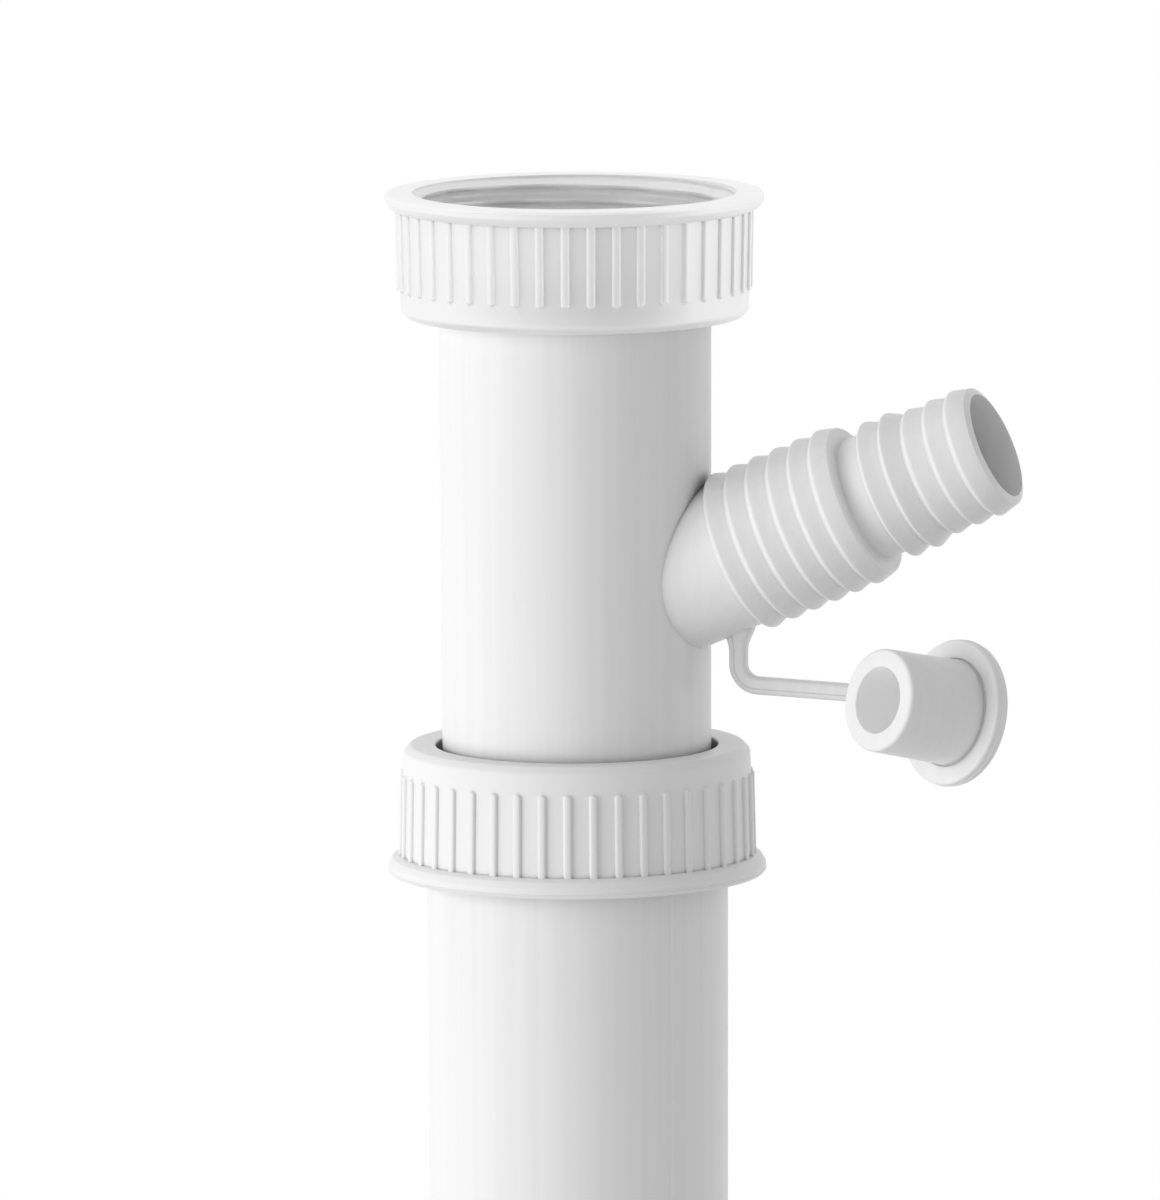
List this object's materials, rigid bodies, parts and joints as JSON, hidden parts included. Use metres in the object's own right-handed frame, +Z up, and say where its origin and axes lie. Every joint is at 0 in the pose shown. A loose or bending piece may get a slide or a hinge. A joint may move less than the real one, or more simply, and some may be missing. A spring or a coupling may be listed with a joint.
{
  "type": "drain trap",
  "caption": "Tubular sink drain trap with ribbed union nuts, a barbed appliance spigot with tethered plug, a sliding leg joint, a U bend and a swivelling outlet pipe.",
  "frame": {"origin": "centre of the inlet nut's mouth plane, on the inlet axis", "axes": "+Z up along the inlet pipe, out of the nut's mouth; +X towards the barbed spigot; the U bend and the outlet lie in the XZ plane towards -X"},
  "size_m": [0.3012, 0.056, 0.3233],
  "materials": {
    "white_plastic": "satin moulded white polypropylene",
    "dark_plastic": "smooth",
    "black_rubber": "matt moulded"
  },
  "bodies": {
    "inlet_pipe": {"inlet_pipe": "white_plastic", "inlet_washer": "black_rubber"},
    "inlet_nut": {"inlet_nut": "white_plastic"},
    "leg_ring": {"leg_slip_ring": "dark_plastic", "leg_seal": "black_rubber"},
    "leg_nut": {"leg_nut": "white_plastic"},
    "trap_bend": {"trap_bend": "white_plastic"},
    "outlet_pipe": {"outlet_pipe": "white_plastic", "outlet_slip_ring": "dark_plastic", "outlet_seal": "black_rubber"},
    "outlet_nut": {"outlet_nut": "white_plastic"}
  },
  "joints": [
    {"name": "inlet_nut_turn", "type": "hinge", "parent": "inlet_pipe", "child": "inlet_nut", "pos_m": [0, 0, -0.009], "axis": [0, 0, 1], "continuous": true},
    {"name": "leg_height", "type": "slide", "parent": "inlet_pipe", "child": "leg_ring", "axis": [0, 0, 1], "range_m": [-0.04, 0.006]},
    {"name": "leg_nut_turn", "type": "hinge", "parent": "leg_ring", "child": "leg_nut", "pos_m": [0, 0, -0.092], "axis": [0, 0, 1], "continuous": true},
    {"name": "trap_swivel", "type": "hinge", "parent": "leg_ring", "child": "trap_bend", "pos_m": [0, 0, -0.1], "axis": [0, 0, 1], "continuous": true},
    {"name": "outlet_swivel", "type": "hinge", "parent": "trap_bend", "child": "outlet_pipe", "pos_m": [-0.076, 0, -0.24], "axis": [0, 0, 1], "range_deg": [-140, 140]},
    {"name": "outlet_nut_turn", "type": "hinge", "parent": "outlet_pipe", "child": "outlet_nut", "pos_m": [-0.076, 0, -0.24], "axis": [0, 0, 1], "continuous": true}
  ]
}
